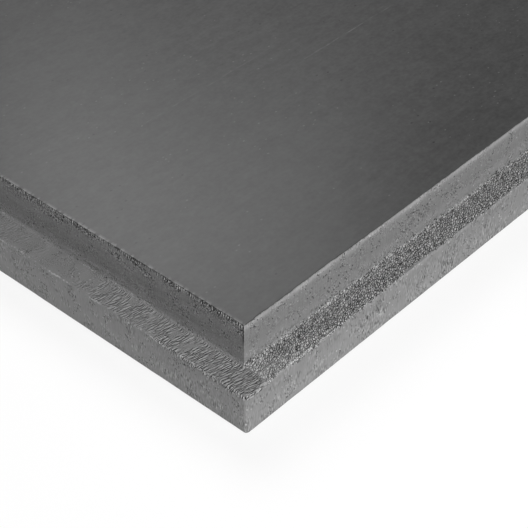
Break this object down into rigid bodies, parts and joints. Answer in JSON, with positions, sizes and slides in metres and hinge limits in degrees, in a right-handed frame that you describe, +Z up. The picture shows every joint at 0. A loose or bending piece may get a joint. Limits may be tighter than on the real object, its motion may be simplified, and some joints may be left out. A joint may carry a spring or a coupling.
{
  "type": "xps insulation board",
  "caption": "Flat rigid foam insulation board with smooth skins and a half-lapped, milled edge on every side, laid lip over lip so that no joint runs straight through.",
  "frame": {"origin": "middle of the underside of the whole board, lips included", "axes": "+X along the length, +Y across the width, +Z up through the thickness; the lower lips are at -X and -Y, the upper lips at +X and +Y"},
  "size_m": [1.265, 0.615, 0.05],
  "materials": {
    "xps_foam": "closed-cell foam, smooth extruded skins and milled edges"
  },
  "bodies": {
    "root": {"insulation_board": "xps_foam"}
  },
  "joints": []
}
